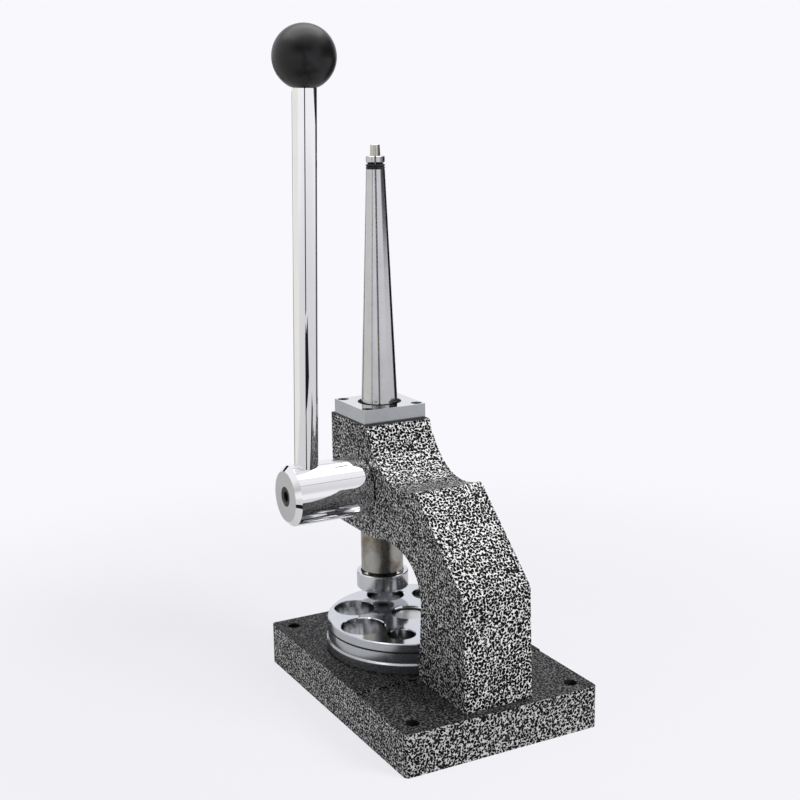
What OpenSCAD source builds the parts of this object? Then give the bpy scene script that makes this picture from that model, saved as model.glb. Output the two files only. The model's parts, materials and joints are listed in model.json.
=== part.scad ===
// Hand lever ring stretcher and reducer for the workbench
// A split mandrel stands on top and a turning plate of tapered dies lies below
// One lever drives both through a pinion and a rack on the ram
// The origin is the centre of the base's underside, front is -Y and the lever is at +X

/* [Base] */
// Width of the base
base_w = 135; // [128:1:160]
// Height of the base in front of the column
base_h = 28; // [26:1:36]
// Step down to the rear of the base, where the column is set against it
base_step = 1; // [0.5:0.5:2]
// Corner radius of the base
base_corner_r = 3; // [1:1:8]
// Diameter of the four bench holes
bench_hole_d = 8.5; // [6.5:0.5:10]
// Distance from a bench hole to the base's side
bench_inset_x = 11.5; // [10:0.5:13]
// Distance from a bench hole to the base's end
bench_inset_y = 12.5; // [10:0.5:16]
// Distance from the front of the base to the ram's axis
ram_setback = 39; // [36:1:42]
// Ledge of the base behind the column
rear_ledge = 6.5; // [4:0.5:30]
// Height of the round bed under the die plate
bed_h = 7.4; // [5:0.2:10]
// How far the bed stands out past the rim of the die plate
bed_lip = 1; // [0.6:0.1:2]

/* [Column] */
// Width of the column across the machine
column_w = 47; // [46:1:56]
// Depth of the head's underside below the pinion shaft
head_drop = 32.6; // [29.6:0.5:37.6]
// Thickness of the head's roof between the ram's bore and the mandrel's seat
roof_t = 5.1; // [3:0.1:13]
// Distance from the ram's axis to the head's front face
head_front = 26; // [24:0.5:30]
// Distance from the ram's axis to the back of the head at its top
head_back = 26.5; // [25:0.5:30]
// Depth of the column's foot, front to back
foot_depth = 56.5; // [52:0.5:64]
// Lean of the column's front face below the arch
front_lean = 3.5; // [0:0.5:5]
// Lean of the column's back face below its slope
back_lean = 2.5; // [0:0.5:5]
// Distance from the ram's axis to the hump behind the saddle
hump_reach = 91; // [84:1:96]
// How far the hump lies below the column's top
hump_drop = 27.4; // [22.4:0.5:30]
// How far the rear slope's foot lies below the column's top
slope_drop = 78.9; // [70:0.5:86]
// Gap between the die plate and the column's foot
throat_gap = 0.6; // [0.5:0.1:3]
// Thread diameter of the bolts that hold the column
column_bolt_d = 8; // [6:1:10]

/* [Die plate] */
// Diameter of the smallest die
die_min_d = 17.6; // [16:0.2:19]
// Step in diameter from one die to the next
die_step = 1.6; // [1.4:0.1:1.9]
// Number of dies
die_count = 8; // [7:1:8]
// Radius of the circle on which the dies lie
die_circle_r = 38; // [37:0.5:39]
// Metal left outside the largest die
die_rim = 2; // [1.5:0.1:4]
// How far the die plate stands turned past its stop
die_turn = 3; // [0:0.5:20]
// Thickness of the die plate
die_t = 13.2; // [12:0.2:18]
// Half angle of a die's taper
die_taper = 4; // [2:0.5:6]
// Height of the rim's groove above the plate's underside
die_groove_z = 7.2; // [5:0.2:10]
// Width of the rim's groove
die_groove_w = 1.2; // [0.8:0.1:2]
// Depth of the rim's groove
die_groove_depth = 0.8; // [0.4:0.1:1.2]
// Diameter of the pivot pin's shank
pivot_d = 12; // [10:1:14]
// Diameter of the pivot pin's head
pivot_head_d = 20.6; // [18:0.2:22]
// Height of the pivot pin's head
pivot_head_h = 5; // [3:0.5:6]
// How far the pivot pin's head lies below the plate's face
pivot_sink = 2; // [1:0.2:3]

/* [Ram] */
// Diameter of the ram
ram_d = 28.8; // [28:0.2:30]
// Gap between pusher and die plate with the lever upright
pusher_lift = 7.2; // [7:0.1:12]
// Diameter of the pusher
pusher_d = 35.4; // [33:0.2:40]
// Height of the pusher
pusher_h = 11.6; // [8:0.1:14]
// Width of the pusher's rim
pusher_rim = 2.9; // [2:0.1:3.4]
// Depth of the pusher's dish
pusher_dish = 3; // [2:0.5:4]
// Gap between the ram's end and the pusher's rim
pusher_neck_gap = 1.7; // [1:0.1:3]
// Tooth module of rack and pinion
gear_module = 1.5; // [1.4:0.05:1.5]
// Number of teeth on the pinion
pinion_teeth = 12; // [12:1:13]
// Distance from the ram's axis to the rack's pitch line
rack_line = 8.8; // [8.5:0.1:9.2]
// Height of the pinion shaft above the bench
shaft_z = 135.6; // [133:0.2:137]

/* [Lever] */
// Diameter of the hub
hub_d = 39.4; // [37:0.2:46]
// Length of the hub
hub_l = 53.6; // [52:0.2:64]
// Bevel at the hub's outer end
hub_bevel = 3.3; // [0.5:0.1:4]
// Distance from the lever's axis to the hub's outer face
lever_inset = 14.7; // [14:0.1:16]
// Diameter of the lever rod
lever_d = 15.4; // [14:0.2:16]
// Distance from the shaft's axis to the ball's centre
lever_reach = 272.5; // [180:0.5:340]
// Lean of the lever behind the upright in the rest position
lever_lean = 3.3; // [0:0.1:6]
// Diameter of the ball knob
ball_d = 38.8; // [32:0.2:50]
// Diameter of the ball knob's flat
ball_flat_d = 16.6; // [16:0.2:20]
// Diameter of the clamp screw in the hub's end
clamp_screw_d = 13; // [8:1:14]
// Diameter of the pinion shaft's hub seat
shaft_d = 18; // [16:0.5:19]

/* [Mandrel] */
// Side of the square top plate
plate_w = 45; // [44:0.5:47]
// Thickness of the top plate
plate_t = 9.6; // [8:0.2:12]
// Bore of the top plate
plate_bore_d = 29.2; // [28.6:0.1:32]
// Distance from a plate screw to the plate's edge
plate_screw_inset = 4.4; // [4.2:0.1:5]
// Mandrel diameter at the face of the top plate
mandrel_foot_d = 24.3; // [23:0.1:24.8]
// Mandrel diameter at the small end
mandrel_tip_d = 12.4; // [12:0.1:13]
// Length of the mandrel's cone above the top plate
mandrel_l = 153.2; // [120:0.2:180]
// Width of the saw cut between two leaves
leaf_kerf = 1; // [0.8:0.1:1.4]
// Turn of the first leaf's middle from +X
leaf_turn = 18; // [0:1:89]
// Height of the groove for the upper rings
ring_groove_h = 3.2; // [3:0.1:5]
// Height of the collar above the upper rings
leaf_collar_h = 5.2; // [3:0.1:7]
// Diameter of the expander core at its tip
core_tip_d = 6.1; // [5.6:0.1:6.2]
// Height of the core's tip above the leaves
core_stand = 7.3; // [7:0.1:14]

/* [Fits] */
// Radial clearance of turning and sliding fits
run_gap = 0.05; // [0.02:0.01:0.09]
// Radial clearance of pieces fixed together
seat_gap = 0.02; // [0.01:0.01:0.04]
// Clearance between the core and the leaves
core_gap = 0.3; // [0.3:0.01:0.36]

/* [Hidden] */

// Overrun of cutting shapes past the faces that they cut
over = 2;
// Facet counts of round shapes and of small round shapes
round_fn = 96;
small_fn = 48;

// Heights and places that follow from the driving sizes
die_max_d = die_min_d + die_step * (die_count - 1);
die_r = die_circle_r + die_max_d / 2 + die_rim;
base_l = ram_setback + die_circle_r + die_r + throat_gap + foot_depth + rear_ledge;
ram_y = ram_setback - base_l / 2;
rear_z = base_h - base_step;
bed_z = base_h + bed_h;
bed_r = die_r + bed_lip;
die_y = ram_y + die_circle_r;
die_top = bed_z + die_t;
column_front = die_y + die_r + throat_gap;
column_back = column_front + foot_depth;
head_z = shaft_z - head_drop;
ram_above_shaft = 15.9;
ram_top = shaft_z + ram_above_shaft;
ram_up = 8.7;
ram_down = 6.6;
locknut_t = 5;
locknut_af = 16;
locknut_play = 0.9;
core_z = ram_top + locknut_t;
bore_top = core_z + ram_up + locknut_play;
leaf_z = bore_top + roof_t;
seat_recess_h = 5.2;
column_top = leaf_z + seat_recess_h;
hump_z = column_top - hump_drop;
slope_foot_z = column_top - slope_drop;
plate_top = column_top + plate_t;

// Rack and pinion
gear_pitch = PI * gear_module;
pinion_r = gear_module * pinion_teeth / 2;
pressure_angle = 20;
pinion_tip_share = 0.8;
rack_tip_share = 0.7;
root_share = 0.95;
backlash_share = 0.2;
gear_backlash = gear_module * backlash_share;
shaft_y = ram_y + rack_line + pinion_r;
pinion_tip_r = pinion_r + gear_module * pinion_tip_share;
pinion_root_r = pinion_r - gear_module * root_share;
rack_face = rack_line + gear_module * rack_tip_share;
pinion_face = 2 * sqrt(pow(ram_d / 2, 2) - pow(rack_face, 2));
neck_play = 0.4;

// Ram and pusher
pusher_z = die_top + pusher_lift;
pusher_top = pusher_z + pusher_h;
ram_z = pusher_top + pusher_neck_gap;
rack_play = 0.5;
rack_reach = sqrt(pow(pinion_tip_r, 2) - pow(rack_line + pinion_r - ram_d / 2, 2));
rack_z = shaft_z - rack_reach - ram_up - rack_play;
spigot_d = 20;
pusher_screw_d = 8;
pusher_screw_head_d = 15;
pusher_screw_head_h = 3.6;
pusher_screw_grip = 16;
pusher_edge = 0.5;
pusher_foot_edge = 0.8;

// Shaft, bushes and their bores
left_journal_d = 14;
right_bush_wall = 3;
left_bush_wall = 3;
bush_flange_t = 0.8;
bush_flange_wall = 3;
ram_clearance = 0.8;
side_gap = 0.1;
cavity_side_gap = 1;
right_bore_r = shaft_d / 2 + right_bush_wall;
left_bore_r = left_journal_d / 2 + left_bush_wall;
// Nearest place along the shaft at which a round of radius r clears the ram
function clear_x(r) =
    sqrt(max(0, pow(ram_d / 2, 2) - pow(max(0, rack_line + pinion_r - r), 2))) + ram_clearance;
cavity_x = max(pinion_face / 2 + cavity_side_gap, clear_x(left_bore_r));
hub_x = column_w / 2 + bush_flange_t + side_gap;
hub_end_x = hub_x + hub_l;
lever_x = hub_end_x - lever_inset;
hub_web = 3.6;
shaft_end_x = lever_x - lever_d / 2 - hub_web;
left_face_x = -column_w / 2 - bush_flange_t - side_gap;
washer_d = 20;
washer_t = 3;
end_screw_d = 6;
end_screw_head_h = 4;
end_screw_grip = 12;
key_w = 5;
key_l = 18;
key_setback = 4;
key_rise = 2;
hub_grub_d = 6;
hub_grub_sink = 1;

// Lever and knob
lever_depth = 10;
ball_drop = sqrt(pow(ball_d / 2, 2) - pow(ball_flat_d / 2, 2));
ball_flat_z = lever_reach - ball_drop;
stud_d = 10;
stud_l = 16;
insert_wall = 2;
insert_l = 18;
clamp_screw_sink = 0.3;
clamp_tip_gap = 0.1;

// Mandrel and core
seat_recess_play = 1.2;
leaf_flange_h = 5;
leaf_flange_r = 17.2;
cone_top = plate_top + mandrel_l;
taper = (mandrel_foot_d - mandrel_tip_d) / 2 / mandrel_l;
collar_z = cone_top + ring_groove_h;
leaf_top = collar_z + leaf_collar_h;
core_top = leaf_top + core_stand;
ring_groove_depth = 1.7;
ring_play = 0.37;
ring_t = 1.45;
ring_round = 0.6;
ring_gap = 0.1;
collar_slope = 1.4;
leaf_edge = 0.4;
core_edge = 0.4;
foot_ring_depth = 2;
foot_ring_h = 2.4;
foot_ring_t = 2.5;
foot_ring_bite = 0.6;
foot_groove_h = 4;
foot_groove_depth = 0.6;
core_stud_d = 10;
core_stud_l = 18;
web_play = 0.6;
function core_r(z) = core_tip_d / 2 + (core_top - z) * taper;
function leaf_r(z) = mandrel_foot_d / 2 + (plate_top - z) * taper;

// Guide screw and the ram's slot
guide_drop = 15.6;
guide_z = shaft_z - guide_drop;
guide_d = 8;
guide_dog_d = 5;
guide_dog_l = 3;
guide_sink = 0.5;
guide_slot_play = 0.2;
guide_end_play = 0.6;
guide_side_gap = 0.08;

// Screws
cap_head_share = 1.7;
socket_share = 0.5;
socket_depth_share = 0.5;
screw_play = 0.25;
bolt_end_gap = 2;
bolt_grip = 16;
bolt_floor = 1;
bolt_inset_x = 9.5;
bolt_inset_y = 12;
plate_screw_d = 4;
plate_screw_grip = 9;
plate_screw_sink = 0.3;

// Die plate and bed details
bed_edge = 1.1;
bed_relief = 0.8;
die_edge = 0.6;
recess_edge = 0.6;
pivot_play = 1.2;
pivot_edge = 0.5;
pivot_lift = 0.1;
pivot_seat = 22;
mouth_edge = 0.4;
index_r = 15;
index_ball_d = 6;
index_play = 0.1;
index_drop = 0.1;
dimple_r = 2;
dimple_depth = 1;
index_plug_d = 8;
index_plug_h = 8;
index_plug_z = 4;
index_wire_d = 0.8;
index_coil_r = 2.1;
index_coils = 5;

// Rounding of the column's corners
hump_round = 4;
slope_round = 6;

function circle_point(c, r, a) = [c[0] + r * cos(a), c[1] + r * sin(a)];

function bezier(a, b, c, d, n) = [
    for (i = [0:n])
        let (t = i / n, s = 1 - t)
        s * s * s * a + 3 * s * s * t * b + 3 * s * t * t * c + t * t * t * d
];

// Arc of radius r that rounds the corner b of the path a, b, c
function corner(a, b, c, r, n = 6) =
    let (
        u = (a - b) / norm(a - b),
        v = (c - b) / norm(c - b),
        half = acos(u * v) / 2,
        m = b + (u + v) / norm(u + v) * r / sin(half),
        p = b + u * r / tan(half),
        q = b + v * r / tan(half),
        pa = atan2(p[1] - m[1], p[0] - m[0]),
        qa = atan2(q[1] - m[1], q[0] - m[0]),
        turn = (qa - pa + 540) % 360 - 180
    )
    [for (i = [0:n]) circle_point(m, r, pa + turn * i / n)];

// Dies in order of size, with equal metal between neighbours
function die_d(i) = die_min_d + die_step * i;
die_web = (2 * PI * die_circle_r - (die_min_d + die_max_d) / 2 * die_count) / die_count;
function die_arc(i) = i <= 0 ? 0 : die_arc(i - 1) + (die_d(i - 1) + die_d(i)) / 2 + die_web;
rest_die = die_count - 3;
function die_angle(i) = (die_arc(i) - die_arc(rest_die)) / die_circle_r * 180 / PI - 90 - die_turn;

// Half width of a pinion tooth, as an angle at radius r
base_r = pinion_r * cos(pressure_angle);
function involute(a) = tan(a) * 180 / PI - a;
tooth_half = (gear_pitch - gear_backlash) / 4 / pinion_r * 180 / PI;
function tooth_angle(r) =
    tooth_half + involute(pressure_angle) - (r <= base_r ? 0 : involute(acos(base_r / r)));
flank_steps = 4;
flank_radii = concat(
    [pinion_root_r],
    [for (i = [0:flank_steps]) base_r + (pinion_tip_r - base_r) * i / flank_steps]
);

module bar(d, z0, z1, fn = small_fn) {
    translate([0, 0, z0]) cylinder(d = d, h = z1 - z0, $fn = fn);
}

module cone(d0, d1, z0, z1, fn = small_fn) {
    translate([0, 0, z0]) cylinder(d1 = d0, d2 = d1, h = z1 - z0, $fn = fn);
}

module bar_x(d, x0, x1, fn = small_fn) {
    translate([x0, 0, 0]) rotate([0, 90, 0]) cylinder(d = d, h = x1 - x0, $fn = fn);
}

module hex_bar(af, z0, z1) {
    translate([0, 0, z0]) cylinder(d = af / cos(30), h = z1 - z0, $fn = 6);
}

module turned(points) {
    rotate_extrude($fn = round_fn) polygon(points);
}

// Socket cap screw along Z with its head's top at z = 0 and its shank below
module cap_screw(d, head_d, head_h, l) {
    difference() {
        union() {
            bar(head_d, -head_h, 0);
            bar(d, -head_h - l, 0);
        }
        hex_bar(head_d * socket_share, -head_h * socket_depth_share, over);
    }
}

// Headless screw along Z with its socket at z = 0
module grub_screw(d, l) {
    difference() {
        bar(d, -l, 0);
        hex_bar(d * socket_share, -min(l * socket_depth_share, d * socket_depth_share), over);
    }
}

module at_ram() {
    translate([0, ram_y, 0]) children();
}

module at_shaft() {
    translate([0, shaft_y, shaft_z]) children();
}

module at_die() {
    translate([0, die_y, 0]) children();
}

module at_bench_holes() {
    for (sx = [-1, 1], sy = [-1, 1])
        translate([sx * (base_w / 2 - bench_inset_x), sy * (base_l / 2 - bench_inset_y), 0])
            children();
}

module at_column_bolts() {
    for (sx = [-1, 1], y = [column_front + bolt_inset_y, column_back - bolt_inset_y])
        translate([sx * (column_w / 2 - bolt_inset_x), y, 0]) children();
}

module at_plate_screws() {
    at_ram()
        for (sx = [-1, 1], sy = [-1, 1])
            translate([sx, sy, 0] * (plate_w / 2 - plate_screw_inset)) children();
}

module at_lever() {
    at_shaft() translate([lever_x, 0, 0]) rotate([-lever_lean, 0, 0]) children();
}

module at_index() {
    at_die() translate([0, index_r, 0]) children();
}

// Turns Z to point forward, with z = 0 on the head's front face
module at_guide() {
    translate([0, ram_y - head_front, guide_z]) rotate([90, 0, 0]) children();
}

module base_block() {
    linear_extrude(base_h) {
        square([base_w - 2 * base_corner_r, base_l], center = true);
        square([base_w, base_l - 2 * base_corner_r], center = true);
        for (sx = [-1, 1], sy = [-1, 1])
            translate([sx * (base_w / 2 - base_corner_r), sy * (base_l / 2 - base_corner_r)])
                circle(r = base_corner_r, $fn = small_fn);
    }
}

module base() {
    color("dimgray")
    difference() {
        base_block();
        translate([-base_w, column_front, rear_z]) cube([2 * base_w, base_l, base_step + over]);
        at_bench_holes() bar(bench_hole_d, -over, base_h + over);
        at_column_bolts() {
            bar(column_bolt_d + 2 * screw_play, -over, base_h + over);
            bar(column_bolt_d * cap_head_share + 2 * screw_play, -over, bolt_floor + column_bolt_d);
        }
        at_die() bar(pivot_d + 2 * seat_gap, bed_z - pivot_seat - bolt_end_gap, base_h + over);
        at_index() {
            bar(index_ball_d + 2 * index_play, index_plug_z, base_h + over);
            bar(index_plug_d + 2 * seat_gap, -over, index_plug_z + index_plug_h);
        }
    }
}

// Side outline of the column, as [y, z] points
arch_start = 31.3;
arch_drop = 27;
arch_steps = 14;
arch_shares = [[0.77, 0.47], [0.35, 0.63]];
saddle_shares = [[0.045, -0.4], [-0.628, -0.624]];
arch_a = [ram_y + arch_start, head_z];
arch_d = [column_front + front_lean, head_z - arch_drop];
foot_a = [column_front, rear_z];
foot_dir = (arch_d - foot_a) / (arch_d[1] - foot_a[1]);
arch_b = arch_a + [(arch_d[0] - arch_a[0]) * arch_shares[0][0], arch_drop * arch_shares[0][1]];
arch_c = arch_d + foot_dir * arch_drop * arch_shares[1][1];
saddle_a = [ram_y + head_back, column_top];
hump = [ram_y + hump_reach, hump_z];
saddle_span = [hump[0] - saddle_a[0], saddle_a[1] - hump[1]];
function scaled(p, s) = [p[0] * s[0], p[1] * s[1]];
saddle_b = saddle_a + scaled(saddle_span, saddle_shares[0]);
saddle_c = hump + scaled(saddle_span, saddle_shares[1]);
saddle_line = bezier(saddle_a, saddle_b, saddle_c, hump, arch_steps);
slope_foot = [column_back - back_lean, slope_foot_z];
column_outline = concat(
    [[ram_y - head_front, column_top], [ram_y - head_front, head_z]],
    bezier(arch_a, arch_b, arch_c, arch_d, arch_steps),
    [foot_a, [column_back, rear_z]],
    corner([column_back, rear_z], slope_foot, hump, slope_round),
    corner(slope_foot, hump, saddle_c, hump_round),
    [for (i = [1:arch_steps]) saddle_line[arch_steps - i]]
);

module column() {
    color("gray")
    difference() {
        rotate([90, 0, 90])
            translate([0, 0, -column_w / 2]) linear_extrude(column_w) polygon(column_outline);
        at_ram() {
            bar(ram_d + 2 * run_gap, head_z - over, bore_top, round_fn);
            bar(2 * (core_r(bore_top - ram_up) + web_play), bore_top - over, column_top, round_fn);
            bar(2 * (leaf_flange_r + seat_recess_play), leaf_z, column_top + over, round_fn);
        }
        at_shaft() {
            bar_x(2 * (right_bore_r + seat_gap), -cavity_x, column_w / 2 + over, round_fn);
            bar_x(2 * (left_bore_r + seat_gap), -column_w / 2 - over, 0, round_fn);
        }
        at_guide() bar(guide_d + 2 * seat_gap, ram_d / 2 - head_front - ram_clearance, over);
        at_column_bolts()
            bar(column_bolt_d + 2 * seat_gap, rear_z - over, rear_z + bolt_grip + bolt_end_gap);
        at_plate_screws()
            bar(plate_screw_d + 2 * seat_gap, column_top - plate_screw_grip - bolt_end_gap, column_top + over);
    }
}

module column_bolts() {
    color("black")
    at_column_bolts()
        translate([0, 0, bolt_floor]) rotate([180, 0, 0])
            cap_screw(
                column_bolt_d, column_bolt_d * cap_head_share, column_bolt_d,
                rear_z + bolt_grip - bolt_floor - column_bolt_d
            );
}

plate_head_d = plate_screw_d * cap_head_share;

module top_plate() {
    color("silver")
    difference() {
        at_ram() translate([-plate_w / 2, -plate_w / 2, column_top]) cube([plate_w, plate_w, plate_t]);
        at_ram() {
            bar(plate_bore_d, column_top - over, plate_top + over, round_fn);
            bar(
                plate_bore_d + 2 * foot_ring_bite, plate_top - foot_ring_depth - foot_ring_h,
                plate_top - foot_ring_depth, round_fn
            );
        }
        at_plate_screws() {
            bar(plate_screw_d + 2 * screw_play, column_top - over, plate_top + over);
            bar(plate_head_d + 2 * screw_play, plate_top - plate_screw_sink - plate_screw_d, plate_top + over);
        }
    }
}

module top_plate_screws() {
    color("black")
    at_plate_screws()
        translate([0, 0, plate_top - plate_screw_sink])
            cap_screw(
                plate_screw_d, plate_head_d, plate_screw_d,
                plate_t - plate_screw_sink - plate_screw_d + plate_screw_grip
            );
}

foot_groove_z = plate_top - foot_ring_depth - foot_ring_h / 2 - foot_groove_h / 2;
flange_z = leaf_z + leaf_flange_h;
ring_neck_r = mandrel_tip_d / 2 - ring_groove_depth;
collar_r = mandrel_tip_d / 2;

// Whole mandrel before it is sawn into its leaves
leaf_profile = [
    [core_r(leaf_z) + core_gap, leaf_z],
    [leaf_flange_r, leaf_z],
    [leaf_flange_r, flange_z],
    [leaf_r(flange_z), flange_z],
    [leaf_r(foot_groove_z), foot_groove_z],
    [leaf_r(foot_groove_z) - foot_groove_depth, foot_groove_z],
    [leaf_r(foot_groove_z) - foot_groove_depth, foot_groove_z + foot_groove_h],
    [leaf_r(foot_groove_z + foot_groove_h), foot_groove_z + foot_groove_h],
    [collar_r, cone_top],
    [ring_neck_r, cone_top],
    [ring_neck_r, collar_z],
    [collar_r - collar_slope, collar_z],
    [collar_r, collar_z + collar_slope],
    [collar_r, leaf_top - leaf_edge],
    [collar_r - leaf_edge, leaf_top],
    [core_r(leaf_top) + core_gap, leaf_top]
];

module mandrel_leaf(i) {
    color("silver")
    at_ram() rotate([0, 0, leaf_turn + 90 * i - 45])
        intersection() {
            turned(leaf_profile);
            translate([leaf_kerf / 2, leaf_kerf / 2, leaf_z - over])
                cube([leaf_flange_r + over, leaf_flange_r + over, leaf_top - leaf_z + 2 * over]);
        }
}

ring_inner_r = ring_neck_r + ring_play;
ring_outer_r = ring_inner_r + ring_t;
ring_h = (ring_groove_h - ring_gap) / 2;

module upper_o_rings() {
    color("black")
    at_ram()
        for (k = [0, 1])
            translate([0, 0, cone_top + (ring_h + ring_gap) * k])
                turned([
                    [ring_inner_r, 0],
                    [ring_outer_r - ring_round, 0],
                    [ring_outer_r, ring_round],
                    [ring_outer_r, ring_h - ring_round],
                    [ring_outer_r - ring_round, ring_h],
                    [ring_inner_r, ring_h]
                ]);
}

module foot_o_ring() {
    color("black")
    at_ram()
        difference() {
            bar(
                plate_bore_d + 2 * (foot_ring_bite - seat_gap), plate_top - foot_ring_depth - foot_ring_h,
                plate_top - foot_ring_depth, round_fn
            );
            bar(
                plate_bore_d + 2 * (foot_ring_bite - foot_ring_t), column_top, plate_top + over, round_fn
            );
        }
}

module expander_core() {
    color("gainsboro")
    at_ram() {
        cone(2 * core_r(core_z), 2 * core_r(core_top - core_edge), core_z, core_top - core_edge, round_fn);
        cone(
            2 * core_r(core_top - core_edge), 2 * (core_r(core_top) - core_edge), core_top - core_edge,
            core_top, round_fn
        );
        bar(core_stud_d, ram_top - core_stud_l, core_z);
    }
}

module core_locknut() {
    color("black")
    at_ram()
        difference() {
            hex_bar(locknut_af, ram_top, core_z);
            bar(core_stud_d + 2 * seat_gap, ram_top - over, core_z + over);
        }
}

// Space between two teeth of the rack, as [y, z] points from the ram's axis
rack_half = (gear_pitch + gear_backlash) / 4;
rack_root = rack_line - gear_module * root_share;
rack_teeth = [floor((rack_z - shaft_z) / gear_pitch) + 1, floor((ram_top - shaft_z) / gear_pitch)];

module rack_space() {
    out = over * tan(pressure_angle);
    tip_half = rack_half + (rack_face - rack_line) * tan(pressure_angle);
    root_half = rack_half - (rack_line - rack_root) * tan(pressure_angle);
    rotate([90, 0, 90])
        translate([0, 0, -ram_d])
            linear_extrude(2 * ram_d)
                polygon([
                    [rack_root, -root_half],
                    [rack_face + over, -tip_half - out],
                    [rack_face + over, tip_half + out],
                    [rack_root, root_half]
                ]);
}

slot_w = guide_dog_d + 2 * guide_side_gap;
slot_z0 = guide_z - ram_up - guide_end_play;
slot_z1 = guide_z + ram_down + guide_end_play;

module ram() {
    color("rosybrown")
    at_ram()
        difference() {
            union() {
                bar(ram_d, ram_z, ram_top, round_fn);
                bar(spigot_d, pusher_top - pusher_dish, ram_z);
            }
            translate([-ram_d, rack_face, rack_z]) cube([2 * ram_d, ram_d, ram_top - rack_z + over]);
            for (k = [rack_teeth[0]:rack_teeth[1]])
                translate([0, 0, shaft_z + gear_pitch * k]) rack_space();
            translate([0, -ram_d / 2, 0]) {
                translate([-slot_w / 2, -over, slot_z0])
                    cube([slot_w, over + guide_dog_l + guide_slot_play, slot_z1 - slot_z0]);
                for (z = [slot_z0, slot_z1])
                    translate([0, guide_dog_l + guide_slot_play, z])
                        rotate([90, 0, 0]) bar(slot_w, 0, over + guide_dog_l + guide_slot_play);
            }
            bar(core_stud_d + 2 * seat_gap, ram_top - core_stud_l - bolt_end_gap, ram_top + over);
            bar(
                pusher_screw_d + 2 * seat_gap, pusher_top - pusher_dish - over,
                pusher_z + pusher_screw_head_h + pusher_screw_grip + bolt_end_gap
            );
        }
}

module ram_guide_screw() {
    color("black")
    at_guide() {
        tip = ram_d / 2 - head_front;
        translate([0, 0, -guide_sink]) grub_screw(guide_d, -guide_sink - tip - guide_sink);
        bar(guide_dog_d, tip - guide_dog_l, tip + guide_sink);
    }
}

module pusher() {
    color("gainsboro")
    at_ram()
        difference() {
            turned([
                [0, pusher_z],
                [pusher_d / 2 - pusher_foot_edge, pusher_z],
                [pusher_d / 2, pusher_z + pusher_foot_edge],
                [pusher_d / 2, pusher_top - pusher_edge],
                [pusher_d / 2 - pusher_edge, pusher_top],
                [pusher_d / 2 - pusher_rim, pusher_top],
                [pusher_d / 2 - pusher_rim, pusher_top - pusher_dish],
                [0, pusher_top - pusher_dish]
            ]);
            bar(pusher_screw_d + 2 * screw_play, pusher_z - over, pusher_top);
            bar(pusher_screw_head_d + 2 * screw_play, pusher_z - over, pusher_z + pusher_screw_head_h);
        }
}

module pusher_screw() {
    color("black")
    at_ram()
        translate([0, 0, pusher_z]) rotate([180, 0, 0])
            cap_screw(pusher_screw_d, pusher_screw_head_d, pusher_screw_head_h, pusher_screw_grip);
}

// Key seen from the shaft's end, with its foot in the shaft
module hub_key_shape(play) {
    x0 = hub_x + key_setback;
    translate([x0, -key_w / 2 - play, shaft_d / 2 - key_w + key_rise])
        cube([key_l, key_w + 2 * play, key_w + play]);
}

module pinion_shaft() {
    color("silver")
    at_shaft()
        difference() {
            union() {
                rotate([0, 90, 0]) rotate([0, 0, 90])
                    translate([0, 0, -pinion_face / 2])
                        linear_extrude(pinion_face)
                            polygon([
                                for (k = [0:pinion_teeth - 1])
                                    let (a = 360 / pinion_teeth * k - 180)
                                    each concat(
                                        [for (r = flank_radii) circle_point([0, 0], r, a - tooth_angle(r))],
                                        [
                                            for (j = [0:flank_steps + 1])
                                                let (r = flank_radii[flank_steps + 1 - j])
                                                circle_point([0, 0], r, a + tooth_angle(r))
                                        ]
                                    )
                            ]);
                bar_x(left_journal_d, left_face_x, 0, round_fn);
                bar_x(2 * (pinion_root_r - neck_play), 0, shaft_end_x, round_fn);
                bar_x(shaft_d, clear_x(shaft_d / 2), shaft_end_x, round_fn);
            }
            bar_x(end_screw_d + 2 * seat_gap, left_face_x - over, left_face_x + end_screw_grip + bolt_end_gap);
            hub_key_shape(seat_gap);
        }
}

module shaft_bush(bore_r, wall, x0) {
    at_shaft()
        difference() {
            union() {
                bar_x(2 * (bore_r + wall), x0, column_w / 2, round_fn);
                bar_x(
                    2 * (bore_r + wall + bush_flange_wall), column_w / 2,
                    column_w / 2 + bush_flange_t, round_fn
                );
            }
            bar_x(2 * (bore_r + run_gap), 0, column_w, round_fn);
        }
}

module right_shaft_bush() {
    color("goldenrod") shaft_bush(shaft_d / 2, right_bush_wall, clear_x(right_bore_r));
}

module left_shaft_bush() {
    color("goldenrod")
    mirror([1, 0, 0]) shaft_bush(left_journal_d / 2, left_bush_wall, clear_x(left_bore_r));
}

module shaft_end_washer() {
    color("dimgray")
    at_shaft()
        difference() {
            bar_x(washer_d, left_face_x - washer_t, left_face_x);
            bar_x(end_screw_d + 2 * screw_play, left_face_x - washer_t - over, left_face_x + over);
        }
}

module shaft_end_screw() {
    color("black")
    at_shaft() translate([left_face_x - washer_t - end_screw_head_h, 0, 0]) rotate([0, -90, 0])
        cap_screw(
            end_screw_d, end_screw_d * cap_head_share, end_screw_head_h, washer_t + end_screw_grip
        );
}

hub_grub_x = hub_x + key_setback + key_l / 2;

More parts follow.
